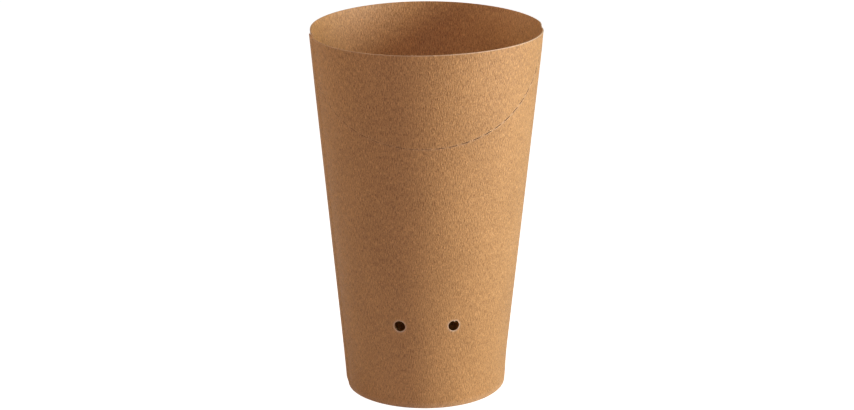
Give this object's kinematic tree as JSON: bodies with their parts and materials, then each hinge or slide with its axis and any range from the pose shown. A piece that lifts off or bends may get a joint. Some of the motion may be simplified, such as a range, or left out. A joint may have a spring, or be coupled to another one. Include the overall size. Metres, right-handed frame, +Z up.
{
  "type": "paper snack cup",
  "caption": "Tall tapered kraft paperboard snack cup with a perforated tear-away front panel, punched steam vents and a recessed bottom disc.",
  "frame": {"origin": "centre of the foot, on the table", "axes": "+Z up along the cup's axis, -Y towards the front with the tear line and vents, +X to the cup's right as seen from the front"},
  "size_m": [0.0903, 0.09, 0.1445],
  "materials": {
    "kraft_wall": "uncoated kraft-brown paperboard, matte, with fine fibre streaks and paler cut edges",
    "kraft_disc": "uncoated kraft-brown paperboard, matte"
  },
  "bodies": {
    "root": {"side_wall": "kraft_wall", "bottom_disc": "kraft_disc"}
  },
  "joints": []
}
